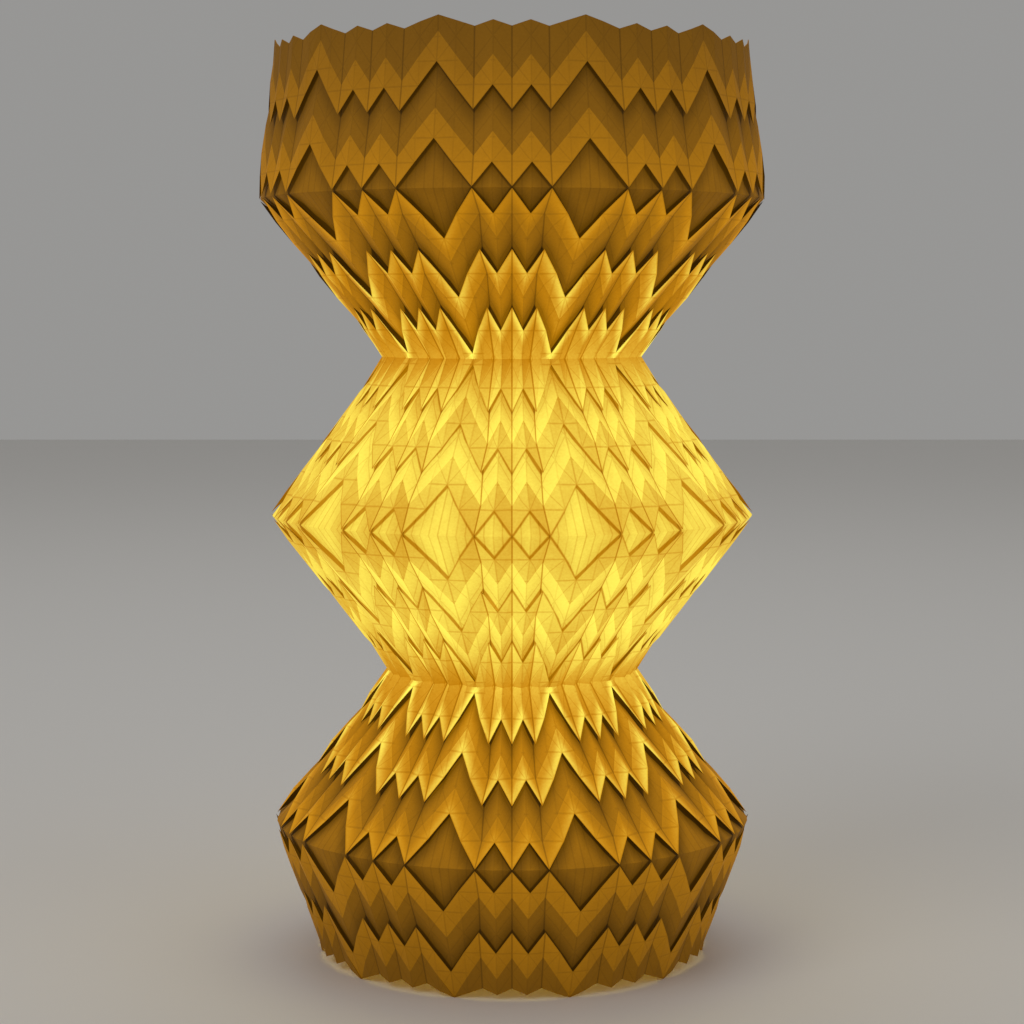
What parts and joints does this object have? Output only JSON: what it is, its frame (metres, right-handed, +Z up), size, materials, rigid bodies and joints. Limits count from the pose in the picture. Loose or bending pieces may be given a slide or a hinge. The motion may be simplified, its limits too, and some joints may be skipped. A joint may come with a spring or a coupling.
{
  "type": "origami tessellation lamp",
  "caption": "Table lamp: a tall folded paper shade with zigzag rows stands over a glass foot and column that carry a lamp holder and bulb.",
  "frame": {"origin": "centre of the foot, on the surface that the lamp stands on", "axes": "+Z up along the shade's axis; the middle of one group of teeth faces -Y, and the cord inlet faces +Y"},
  "size_m": [0.2268, 0.2256, 0.4069],
  "materials": {
    "shade_paper": "matte",
    "clear_glass": "clear",
    "zinc_steel": "satin",
    "brass": "satin",
    "holder_plastic": "matte",
    "insert_ceramic": "matte",
    "opal_bulb": "opal",
    "bush_rubber": "matte"
  },
  "bodies": {
    "root": {"paper_shade": "shade_paper", "glass_foot": "clear_glass", "foot_washer": "zinc_steel", "foot_nut": "zinc_steel", "threaded_tube": "zinc_steel", "column_plate": "brass", "holder_cup": "holder_plastic", "holder_insert": "insert_ceramic", "centre_contact": "brass", "screw_sleeve": "brass", "holder_shell": "holder_plastic", "bulb": "opal_bulb", "cord_inlet_bush": "bush_rubber"}
  },
  "joints": []
}
